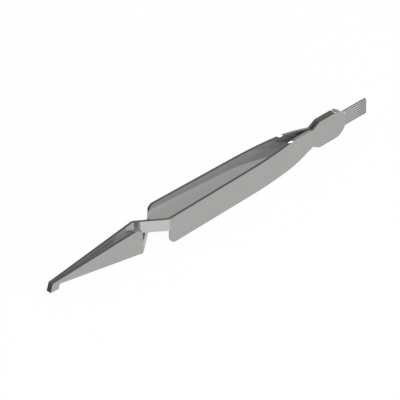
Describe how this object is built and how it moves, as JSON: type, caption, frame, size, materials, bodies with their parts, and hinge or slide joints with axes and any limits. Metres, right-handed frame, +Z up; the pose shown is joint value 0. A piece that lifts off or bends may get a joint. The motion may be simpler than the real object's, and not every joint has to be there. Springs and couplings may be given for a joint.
{
  "type": "bracket forceps",
  "caption": "Reverse-action orthodontic tweezers: crossed spring arms with hooked jaws that open on a squeeze, and a thin grooved positioning blade at the rear.",
  "frame": {"origin": "middle of the underside of the whole tool's box, on the surface that the tool stands on by its lower edges", "axes": "+X from the jaw tips to the positioning blade, +Y to the far handle, +Z up across the width of the strip"},
  "size_m": [0.1438, 0.0108, 0.01],
  "materials": {
    "arm_steel": "satin",
    "blade_steel": "satin"
  },
  "bodies": {
    "root": {"near_arm": "arm_steel", "far_arm": "arm_steel", "positioning_blade": "blade_steel"}
  },
  "joints": []
}
